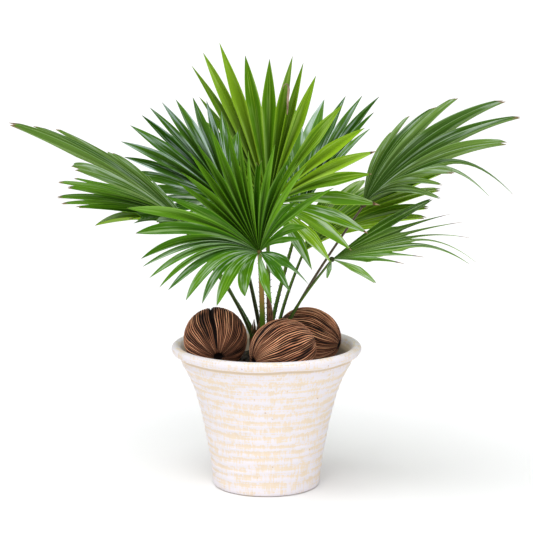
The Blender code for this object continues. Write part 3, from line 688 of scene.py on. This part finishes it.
def add_blade(bm, upward, corners, fan, number, twist_most):
    """One blade as a grid that meets the next one up to the split."""
    frond = fan.frond
    vein, look, hang = corners
    rng = random.Random(f"{frond.name} {number}")
    before, middle, after = fan.edges(number)
    droop = sum(frond.tips[number][3:])
    slender = droop > 0
    rows = blade_rows(frond, number)
    columns = PLEAT_COLUMNS * frond.pleats
    pleat = (fan.point(after, frond.split) - fan.point(before, frond.split)).length / frond.pleats
    flat = fan.tip(middle).length * frond.split * PLEAT_WIDTH
    fold = min(math.sqrt(max((flat / pleat) ** 2 - 1, LEAST_FOLD ** 2)), DEEPEST_FOLD)
    fold *= HANGING_FOLD + (1 - HANGING_FOLD) * clamped(fan.ways[number].z * 1.8 + 0.3)
    tint = rng.random()
    twist = rng.uniform(-twist_most, twist_most)
    hanging = clamped((0.35 - fan.ways[number].z) * 2.5)
    dry = dict(frond.dry).get(number, rng.uniform(0.003, 0.012))
    last = len(rows) - 1
    verts = add_grid(bm, columns, last)
    for loop in corners_of(verts):
        t = rows[row_of(loop.vert, last)][0]
        loop[vein] = ((loop.vert.co.x + 1) / 2 * frond.pleats, t, fold)
        loop[look] = (tint, (t - (1 - dry)) / dry, 0.0)
        loop[hang] = (hanging, 0.0, 0.0)
    for vert in verts:
        t, width, free = rows[row_of(vert, last)]
        share = (vert.co.x + 1) / 2 * frond.pleats % 1.0
        depth = (1 - abs(2 * share - 1)) ** 1.15
        side = vert.co.x * width
        s = middle + side * (after - middle if side > 0 else middle - before)
        if frond.pleats > 1 and not slender:
            t -= NOTCH * (1 - depth) * free ** 8
        t = max(t, HUB_RING / fan.tip(s).length)
        place = fan.point(s, t)
        edge = (fan.point(after, t) - fan.point(before, t)).length
        vert[upward] = fan.normal(s, t)
        flatter = 1 - 0.3 * free
        place -= vert[upward] * (edge * width / (2 * frond.pleats) * fold * depth * flatter)
        place += vert[upward] * (vert.co.x * edge / 2 * width * math.tan(twist) * free)
        place.z -= droop * free ** 2
        vert.co = place


def make_fan(frond, leaves):
    """The pleated fan: one sheet, which is then extruded from its lower to its upper side."""
    fan = Fan(frond)
    bm = bmesh.new()
    upward, = vector_layers(bm.verts, "upward")
    corners = vector_layers(bm.loops, "vein", "look", "hang")
    for number in range(len(frond.tips)):
        add_blade(bm, upward, corners, fan, number, leaves.twist)
    bmesh.ops.remove_doubles(bm, verts=bm.verts, dist=0.01)
    bmesh.ops.triangulate(bm, faces=bm.faces, quad_method="SHORT_EDGE")
    lower = list(bm.verts)
    look = corners[1]
    half = leaves.thickness / MM / 2
    grown = bmesh.ops.extrude_face_region(bm, geom=bm.faces[:], use_keep_orig=True)["geom"]
    for part in grown:
        if isinstance(part, bmesh.types.BMVert):
            part.co += part[upward] * half
        elif isinstance(part, bmesh.types.BMFace):
            for loop in part.loops:
                loop[look] = (*loop[look][:2], 1.0)
    for vert in lower:
        vert.co -= vert[upward] * half
    bm.verts.layers.float_vector.remove(upward)
    colours = tuple(getattr(leaves, frond.leaf)), tuple(leaves.dead)
    leaf = finish_of("palm_leaf_" + frond.leaf, leaf_finish, *colours, *LEAF_KINDS[frond.leaf])
    dressed(piece_from(frond.name + "_fan", bm, [leaf], 24.0), "palm_leaf", frond.name)


def stalk_path(frond):
    """Centres up the stalk, upright out of its socket and then on a gentle curve to the hub."""
    foot = Vector((*frond.socket, SOCKET_BOTTOM))
    hub = Vector(frond.hub)
    top = Vector((frond.socket[0] * 1.15, frond.socket[1] * 1.15, SOCKET_BOTTOM + STALK_RISE))
    near = hub - (hub - Vector((0, 0, CROWN_TOP))) * 0.35
    points = []
    for row in range(STALK_ROWS + 1):
        u = row / STALK_ROWS
        v = 1 - u
        points.append(foot * v ** 3 + top * (3 * v * v * u) + near * (3 * v * u * u) + hub * u ** 3)
    return points


def frames_along(points, outward):
    """For each point its place, the way across the stalk and the way out of its back."""
    frames = []
    for n, point in enumerate(points):
        ahead = points[min(n + 1, len(points) - 1)] - points[max(n - 1, 0)]
        across = ahead.normalized().cross(outward).normalized()
        frames.append((point, across, across.cross(ahead).normalized()))
    return frames


def add_tube(bm, frames, radii, sides, relief=None):
    """A closed tube through the frames, a little wider than it is thick and flat on its front."""
    bark, = vector_layers(bm.loops, "bark")
    rows = len(frames) - 1
    verts = add_grid(bm, sides, rows)
    for loop in corners_of(verts):
        loop[bark] = (loop.vert.co.x * math.pi, frames[row_of(loop.vert, rows)][0].z * MM, 0.0)
    for vert in verts:
        angle = vert.co.x * math.pi
        row = row_of(vert, rows)
        centre, across, back = frames[row]
        radius = radii[row] * (1 + (relief(angle, row) if relief else 0.0))
        width, depth = radius * STALK_WIDENING, radius / STALK_WIDENING
        hollow = 0.62 if math.sin(angle) < 0 else 1.0
        vert.co = centre + across * (math.cos(angle) * width) + back * (math.sin(angle) * depth * hollow)
    bmesh.ops.remove_doubles(bm, verts=verts, dist=1e-3)
    bmesh.ops.holes_fill(bm, edges=bm.edges, sides=0)


def add_spines(bm, frond, frames, radii, count):
    """Hooked spines along both margins, closer and longer towards the crown."""
    rng = random.Random(frond.name)
    rows = len(frames) - 1
    for number in range(count):
        share = 0.16 + 0.8 * ((number + rng.uniform(0.1, 0.9)) / count) ** 1.25
        row = min(int(share * rows), rows - 1)
        centre = frames[row][0].lerp(frames[row + 1][0], share * rows - row)
        across = frames[row][1] * (1 if number % 2 else -1)
        ahead = (frames[row + 1][0] - frames[row][0]).normalized()
        length = SPINE_LENGTH * (1.15 - 0.65 * share) * rng.uniform(0.75, 1.2)
        way = (across + ahead * rng.uniform(0.3, 0.7)).normalized()
        turn = turn_to(way).to_4x4()
        middle = centre + across * (radii[row] * STALK_WIDENING * 0.72) + way * (length / 2)
        radius = SPINE_RADIUS * (1.1 - 0.5 * share)
        verts = bmesh.ops.create_cone(bm, cap_ends=True, segments=SPINE_SIDES, radius1=radius, radius2=0.0,
                                      depth=length, matrix=Matrix.Translation(middle) @ turn)["verts"]
        tip = max(verts, key=lambda vert: (vert.co - centre).dot(way))
        tip.co += ahead * (length * 0.28)
        for face in faces_of(verts):
            face.material_index = 1


def make_stalk(frond, leaves):
    points = stalk_path(frond)
    outward = Vector((frond.hub[0] - frond.socket[0], frond.hub[1] - frond.socket[1], 0.0)).normalized()
    frames = frames_along(points, outward)
    thinner = STALK_TIP_RADIUS - STALK_BASE_RADIUS
    radii = [(STALK_BASE_RADIUS + thinner * (row / STALK_ROWS) ** 0.8) * frond.girth
             for row in range(STALK_ROWS + 1)]
    bm = bmesh.new()
    add_tube(bm, frames, radii, STALK_SIDES)
    add_spines(bm, frond, frames, radii, leaves.spines)
    hub = Matrix.Translation(frond.hub) @ Matrix.Diagonal((1.0, 1.0, 0.9, 1.0))
    bmesh.ops.create_icosphere(bm, subdivisions=3, radius=HUB_RADIUS, matrix=hub)
    stalk = finish_of("palm_stalk_" + frond.stalk, stalk_finish, *STALK_KINDS[frond.stalk])
    thorn = finish_of("thorn", mottled_finish, *THORN_LOOK)
    dressed(piece_from(frond.name + "_stalk", bm, [stalk, thorn]), "palm_leaf", frond.name)


def turned(chains, sides):
    """A closed bmesh of open outlines, points of radius and height, spun about the Z axis."""
    bm = bmesh.new()
    geometry = []
    for chain in chains:
        points = [bm.verts.new((radius, 0.0, height)) for radius, height in chain]
        geometry += points + [bm.edges.new(pair) for pair in zip(points, points[1:])]
    bmesh.ops.spin(bm, geom=geometry, cent=(0, 0, 0), axis=(0, 0, 1), angle=math.tau, steps=sides,
                   use_merge=True)
    bmesh.ops.remove_doubles(bm, verts=bm.verts, dist=1e-4)
    return bm


def outline_radius(outline, height):
    """The radius at a height between the points of an outline that goes down."""
    for (top_radius, top), (low_radius, low) in zip(outline, outline[1:]):
        if low <= height <= top:
            return low_radius + (top_radius - low_radius) * (height - low) / (top - low)
    raise ValueError("the outline has no such height")


def flare_radius(height):
    """The outside of the pot at a height, with the corners of FLARE rounded off."""
    steps = [clamped(height + step, FLARE_FOOT, FLARE_TOP) for step in (-7.0, -3.5, 0.0, 3.5, 7.0)]
    return sum(outline_radius(FLARE, step) for step in steps) / len(steps)


def make_pot(pot):
    """The pot, with uneven throwing ridges round its outside and a lip that wanders a little."""
    pitch, depth = pot.ridge_pitch / MM, pot.ridge_depth / MM
    rings = int((FLARE_TOP - FLARE_FOOT) / FLARE_STEP) + 1
    heights = [FLARE_TOP - FLARE_STEP * n for n in range(rings)]
    outside = [*LIP, *((flare_radius(height), height) for height in heights), *FOOT]
    bm = turned([outside, [LIP[0], *BORE, (0.0, FLOOR_HEIGHT)]], POT_SIDES)
    crest = bm.verts.layers.float.new("crest")
    for vert in bm.verts:
        radius = math.hypot(vert.co.x, vert.co.y)
        if radius < 1.0:
            continue
        out = Vector((vert.co.x, vert.co.y, 0.0)) / radius
        height = vert.co.z
        # The inside, below the lip's top, takes the painted inside shade; the outside is set next
        vert[crest] = WASHED if height > LIP_TOP else PAINTED_INSIDE_SHADE
        if radius > outline_radius(FLARE, clamped(height, FLARE_FOOT, FLARE_TOP)) - WALL:
            wander = swell(out.x * 1.4, out.y * 1.4, height * 0.012) * 0.9
            slow = swell(4.0, 2.0, height * 0.05) * 0.5
            wave = math.cos((height / pitch + wander * 0.35 + slow) * math.tau)
            fade = clamped((168.0 - height) / 6.0) * clamped((height - 6.0) / 10.0)
            vert[crest] = 0.5 + 0.5 * wave * fade + 0.3 * (1 - fade)
            vert.co += out * (depth * (0.75 * wave * fade - 0.15))
            if height < LIP[-1][1]:
                vert.co += out * (swell(out.x * 5.0, out.y * 5.0, height * 0.09) * 0.5)
        # Under the lip the clay stays bare and a tan shadow is painted
        if LIP_FOOT < height < 175.5 and 112.0 < radius < 119.0:
            vert[crest] = BARE_PAINTED_LIP_SHADOW
        if LIP_FOOT < height < 182.0 and radius > 112.0:
            vert.co.z += 1.8 * swell(out.x * 2.2, out.y * 2.2, 7.0)
    clay = finish_of("clay_and_wash", clay_finish, tuple(pot.clay), tuple(pot.wash))
    dressed(piece_from("pot_body", bm, [clay], 50.0), "whitewashed_clay", "pot")


def husk_floor(x, y):
    """The height of the lowest husk surface above a point of the soil, or infinity where none is."""
    lowest = math.inf
    for husk in HUSKS:
        radius = max(husk.half_length, husk.half_width) + 0.5
        beside = math.hypot(x - husk.centre[0], y - husk.centre[1])
        if beside < radius:
            lowest = min(lowest, husk.centre[2] - math.sqrt(radius ** 2 - beside ** 2))
    return lowest


def soil_height(x, y):
    lumps = 3.4 * swell(x * 0.05, y * 0.05, 1.0) + 1.6 * noise.noise(Vector((x, y, 5.0)) * 0.16)
    crumbs = 0.9 * swell(x * 0.5, y * 0.5, 9.0)
    return min(SOIL_HEIGHT - 1.2 + lumps + crumbs, husk_floor(x, y) - 0.4)


def make_soil():
    """The soil's lumpy top with a dip under each husk, and loose crumbs lying on it."""
    edge = outline_radius(BORE, SOIL_HEIGHT - 2.0) - 0.4
    top = [(edge * n / SOIL_RINGS, SOIL_HEIGHT) for n in range(SOIL_RINGS + 1)]
    bm = turned([[*top, (edge, SOIL_HEIGHT - 4.0), (64.0, 24.0), (0.0, 14.0)]], SOIL_SIDES)
    for vert in bm.verts:
        if vert.co.z > SOIL_HEIGHT - 1.0:
            vert.co.z = soil_height(vert.co.x, vert.co.y)
    rng = random.Random(8)
    for _ in range(CRUMBS):
        x, y = polar(edge * math.sqrt(rng.uniform(0.06, 0.92)), rng.uniform(0, math.tau))
        if husk_floor(x, y) < SOIL_HEIGHT + 3.0:
            continue
        size = rng.uniform(0.7, 2.3)
        place = Matrix.Translation((x, y, soil_height(x, y) + size * 0.35))
        turn = Euler((rng.uniform(0, 3), rng.uniform(0, 3), rng.uniform(0, 3))).to_matrix().to_4x4()
        stretch = Matrix.Diagonal((1.0, rng.uniform(0.6, 1.0), rng.uniform(0.45, 0.8), 1.0))
        bmesh.ops.create_icosphere(bm, subdivisions=1, radius=size, matrix=place @ turn @ stretch)
    obj = piece_from("soil_top", bm, [finish_of("crumbly_soil", soil_finish)], 60.0)
    dressed(obj, "potting_soil", "soil")


def make_husk(husk, husks):
    """A husk of strands from pole to pole with grooves between them, and a cleft down one side."""
    bm = bmesh.new()
    add_grid(bm, HUSK_COLUMNS, HUSK_ROWS)
    grain, relief = vector_layers(bm.verts, "grain", "relief")
    turn = turn_to(Vector(husk.pole))
    cleft = turn.inverted() @ Vector(husk.cleft)
    cleft_angle = math.atan2(cleft.y, cleft.x)
    deep = husks.relief / MM
    for vert in bm.verts:
        angle, height = vert.co.x * math.pi, math.sin(vert.co.y * math.pi / 2)
        beside = math.cos(vert.co.y * math.pi / 2)
        way = Vector((*polar(beside, angle), height))
        drift = 0.08 * swell(husk.seed, height * 1.7, 0.5)
        ring = Vector((*polar(1.0, angle + drift), 0.0))
        bend = 0.5 * noise.noise(ring * 5.0 + Vector((husk.seed, 0.0, height * 0.8)))
        phase = (angle + drift) / math.tau * STRANDS + bend
        strand = math.floor(phase) % STRANDS
        round_top = 1 - abs(2 * (phase - math.floor(phase)) - 1) ** 2.0
        patch = noise.noise(ring * 13.0 + Vector((0.0, husk.seed, height * 1.9)))
        kept = clamped(1.0 + 0.75 * patch, 0.5)
        wide = min(abs(noise.noise(ring * 5.0 + Vector((husk.seed, 3.0, height * 0.5)))) * 7.0, 1.0)
        stand = (1 - 0.85 * kept * (1 - round_top)) * (0.82 + 0.18 * wide)
        tone = swell(strand * 7.3, height * 1.1, husk.seed) * 1.6
        turned_off = math.remainder(angle + drift - cleft_angle, math.tau)
        gap = math.exp(-((turned_off / CLEFT_WIDTH) ** 2)) * clamped((0.99 - abs(height)) * 8.0)
        stand *= 1.0 - gap
        near_pole = max(abs(height) - 0.97, 0.0) / 0.03
        vert[grain] = (ring.x * 9.0, ring.y * 9.0, height * 2.5 + husk.seed)
        # A low relief takes the painted groove shade in the finish: in the grooves, the cleft and, lowered
        # here, at the pole
        vert[relief] = (stand * (1.0 - 0.6 * near_pole ** 3), tone + husk.tone, 0.0)
        sunk = deep * 1.3 * (1.0 - stand) * (1.0 - 0.35 * near_pole)
        across = husk.half_width - sunk - CLEFT_DEPTH * gap
        along = husk.half_length - 3.2 * near_pole ** 3
        vert.co = turn @ Vector((way.x * across, way.y * across, way.z * along)) + Vector(husk.centre)
    bmesh.ops.remove_doubles(bm, verts=bm.verts, dist=0.005)
    strands = finish_of("husk_strands", husk_finish, tuple(husks.strand), tuple(husks.groove))
    dressed(piece_from(husk.name + "_fibres", bm, [strands], 80.0), "husk_fibre", husk.name)


def make_crown():
    """The crown's stem, ribbed with the bases of old leaves."""
    outline = [(0.0, CROWN_OUTLINE[0][1]), *CROWN_OUTLINE, (9.0, CROWN_TOP + 0.8), (0.0, CROWN_TOP + 1.2)]
    bm = turned([outline], CROWN_SIDES)
    long_edges = [edge for edge in bm.edges if abs(edge.verts[0].co.z - edge.verts[1].co.z) > 6.0]
    bmesh.ops.subdivide_edges(bm, edges=long_edges, cuts=5, use_grid_fill=True)
    for vert in bm.verts:
        radius = math.hypot(vert.co.x, vert.co.y)
        if radius > 2.0:
            out = Vector((vert.co.x, vert.co.y, 0.0)) / radius
            rib = abs(swell(out.x * 9.0, out.y * 9.0, vert.co.z * 0.03)) * 2.4
            vert.co += out * (rib - 1.4)
    dressed(piece_from("crown_stem", bm, [fibre_of("torn_fibre")], 60.0), "dry_fibre", "crown")


def add_strip(bm, points, half_widths, across, bulge):
    """A strip through the points, curved towards bulge, as a grid that is then given its thickness."""
    rows = len(points) - 1
    verts = add_grid(bm, STRIP_COLUMNS, rows)
    for vert in verts:
        row = row_of(vert, rows)
        side, half = vert.co.x, half_widths[row]
        vert.co = points[row] + across * (side * half) + bulge * (1 - side * side) * half * 0.5
    faces = list(faces_of(verts))
    bmesh.ops.recalc_face_normals(bm, faces=faces)
    bmesh.ops.solidify(bm, geom=faces, thickness=STRIP_THICKNESS)


def make_crown_sheaths():
    """Short brown sheaths that clasp the crown and end in ragged tips between the stalks."""
    bm = bmesh.new()
    rng = random.Random(31)
    for number in range(CROWN_SHEATHS):
        angle = number * 2.4 + rng.uniform(-0.2, 0.2)
        rise = rng.uniform(16.0, 34.0)
        points, widths = [], []
        for step in range(10):
            share = step / 9
            height = CROWN_SHEATH_FOOT + (CROWN_TOP - CROWN_SHEATH_FOOT + rise) * share
            radius = 20.4 + 1.2 * math.sin(share * 5.0 + number) - 3.5 * max(share - 0.6, 0.0) / 0.4
            wander = angle + 0.12 * math.sin(share * 4.0 + number)
            points.append(Vector((*polar(radius, wander), height)))
            widths.append((6.4 * (1 - share ** 2.2) + 0.25) * rng.uniform(0.85, 1.1))
        out = Vector((*polar(1.0, angle), 0.0))
        add_strip(bm, points, widths, Vector((-out.y, out.x, 0.0)), out)
    dressed(piece_from("crown_sheaths", bm, [fibre_of("torn_fibre")], 50.0), "dry_fibre")


def eased(values, steps, rounds=3):
    """The values with steps between each two, smoothed. The first and the last stay."""
    fine = [a + (b - a) * (step / steps) for a, b in zip(values, values[1:]) for step in range(steps)]
    fine.append(values[-1])
    for _ in range(rounds):
        fine = [fine[0], *((a + b + c) / 3 for a, b, c in zip(fine, fine[1:], fine[2:])), fine[-1]]
    return fine


def make_dried_curl():
    """The dried and curled-over tip of a hidden blade, between two blades of the top fan."""
    points = eased([Vector(point) for point in CURL_POINTS], 5)
    bm = bmesh.new()
    add_strip(bm, points, eased(CURL_WIDTHS, 5), Vector((0.85, -0.5, 0.15)), Vector((0.5, 0.85, 0.0)))
    dressed(piece_from("dried_curl", bm, [fibre_of("dead_blade")], 50.0), "dry_fibre")


def make_dry_sheath():
    """The torn sheath in front of the crown: a ribbed, frayed spindle."""
    points, radii = eased([Vector(point) for point in SHEATH_POINTS], 8), eased(SHEATH_RADII, 8)

    def ribs(angle, row):
        return -0.6 * abs(swell(*polar(3.0, angle), row * 0.09))

    bm = bmesh.new()
    add_tube(bm, frames_along(points, Vector((0, -1, 0))), radii, SHEATH_SIDES, ribs)
    obj = piece_from("dry_sheath_fibres", bm, [fibre_of("torn_fibre")], 60.0)
    dressed(obj, "dry_fibre", "dry_sheath")


class PALM_OT_pot(bpy.types.Operator):
    """Makes the whitewashed clay pot"""

    bl_idname = "palm.pot"
    bl_label = "Pot"

    def execute(self, context):
        make_pot(context.scene.palm_pot)
        return {"FINISHED"}


class PALM_OT_soil(bpy.types.Operator):
    """Makes the soil and its crumbs"""

    bl_idname = "palm.soil"
    bl_label = "Soil"

    def execute(self, context):
        make_soil()
        return {"FINISHED"}


class PALM_OT_husks(bpy.types.Operator):
    """Makes the three fibrous husks that lie on the soil"""

    bl_idname = "palm.husks"
    bl_label = "Husks"

    def execute(self, context):
        for husk in HUSKS:
            make_husk(husk, context.scene.palm_husks)
        return {"FINISHED"}


class PALM_OT_crown(bpy.types.Operator):
    """Makes the crown with its old sheaths"""

    bl_idname = "palm.crown"
    bl_label = "Crown"

    def execute(self, context):
        make_crown()
        make_crown_sheaths()
        make_dry_sheath()
        return {"FINISHED"}


class PALM_OT_fronds(bpy.types.Operator):
    """Makes the fronds, each with its stalk and its pleated fan, and the dried curl in the top fan"""

    bl_idname = "palm.fronds"
    bl_label = "Fronds"

    def execute(self, context):
        leaves = context.scene.palm_leaves
        for frond in FRONDS:
            make_fan(frond, leaves)
            make_stalk(frond, leaves)
        make_dried_curl()
        return {"FINISHED"}


class PALM_OT_stage(bpy.types.Operator):
    """Sets the pale floor, the soft lights and the camera"""

    bl_idname = "palm.stage"
    bl_label = "Stage"

    def execute(self, context):
        scene = context.scene
        stage = scene.palm_stage
        bm = bmesh.new()
        bmesh.ops.create_circle(bm, cap_ends=True, radius=FLOOR_RADIUS, segments=64,
                                matrix=Matrix.Translation((0.0, 0.0, -FLOOR_DROP)))
        floor = finish_of("studio_floor", mottled_finish, *FLOOR_LOOK)
        piece_from("studio_floor", bm, [floor])
        camera = bpy.data.cameras.new("camera")
        camera.sensor_width = 36.0
        camera.lens = stage.lens
        camera.clip_end = 200.0
        scene.camera = placed("camera", camera)
        scene.camera.location = (0.0, -stage.distance, stage.height)
        scene.camera.rotation_euler = Euler((math.radians(90.0) - stage.tilt, 0.0, 0.0))
        world = bpy.data.worlds.new("studio")
        world.use_nodes = True
        background = world.node_tree.nodes["Background"]
        background.inputs["Color"].default_value = (0.97, 0.985, 1.0, 1.0)
        background.inputs["Strength"].default_value = stage.sky
        scene.world = world
        for name, spread, turn in LIGHTS:
            lamp = bpy.data.lights.new(name, "SUN")
            lamp.energy = getattr(stage, name)
            lamp.angle = math.radians(spread)
            placed(name, lamp).rotation_euler = Euler([math.radians(part) for part in turn])
        scene.view_settings.view_transform = "Standard"
        return {"FINISHED"}


class PALM_PT_sidebar(bpy.types.Panel):
    bl_idname = "PALM_PT_sidebar"
    bl_label = "Fan Palm"
    bl_space_type = "VIEW_3D"
    bl_region_type = "UI"
    bl_category = "Fan Palm"

    def draw(self, context):
        for maker in OPERATORS:
            self.layout.operator(maker.bl_idname)
        for group in SETTINGS:
            settings = getattr(context.scene, group)
            for name in settings.bl_rna.properties.keys():
                if name not in ("rna_type", "name"):
                    self.layout.prop(settings, name)


SETTINGS = {"palm_leaves": PALM_PG_leaves, "palm_pot": PALM_PG_pot, "palm_husks": PALM_PG_husks,
            "palm_stage": PALM_PG_stage}
OPERATORS = (PALM_OT_pot, PALM_OT_soil, PALM_OT_husks, PALM_OT_crown, PALM_OT_fronds, PALM_OT_stage)


def register():
    for name, group in SETTINGS.items():
        bpy.utils.register_class(group)
        setattr(bpy.types.Scene, name, PointerProperty(type=group))
    for maker in (*OPERATORS, PALM_PT_sidebar):
        bpy.utils.register_class(maker)


def unregister():
    for maker in reversed((*OPERATORS, PALM_PT_sidebar)):
        bpy.utils.unregister_class(maker)
    for name, group in SETTINGS.items():
        delattr(bpy.types.Scene, name)
        bpy.utils.unregister_class(group)


def main():
    register()
    bpy.ops.palm.pot()
    bpy.ops.palm.soil()
    bpy.ops.palm.husks()
    bpy.ops.palm.crown()
    bpy.ops.palm.fronds()
    bpy.ops.palm.stage()


if __name__ == "__main__":
    main()
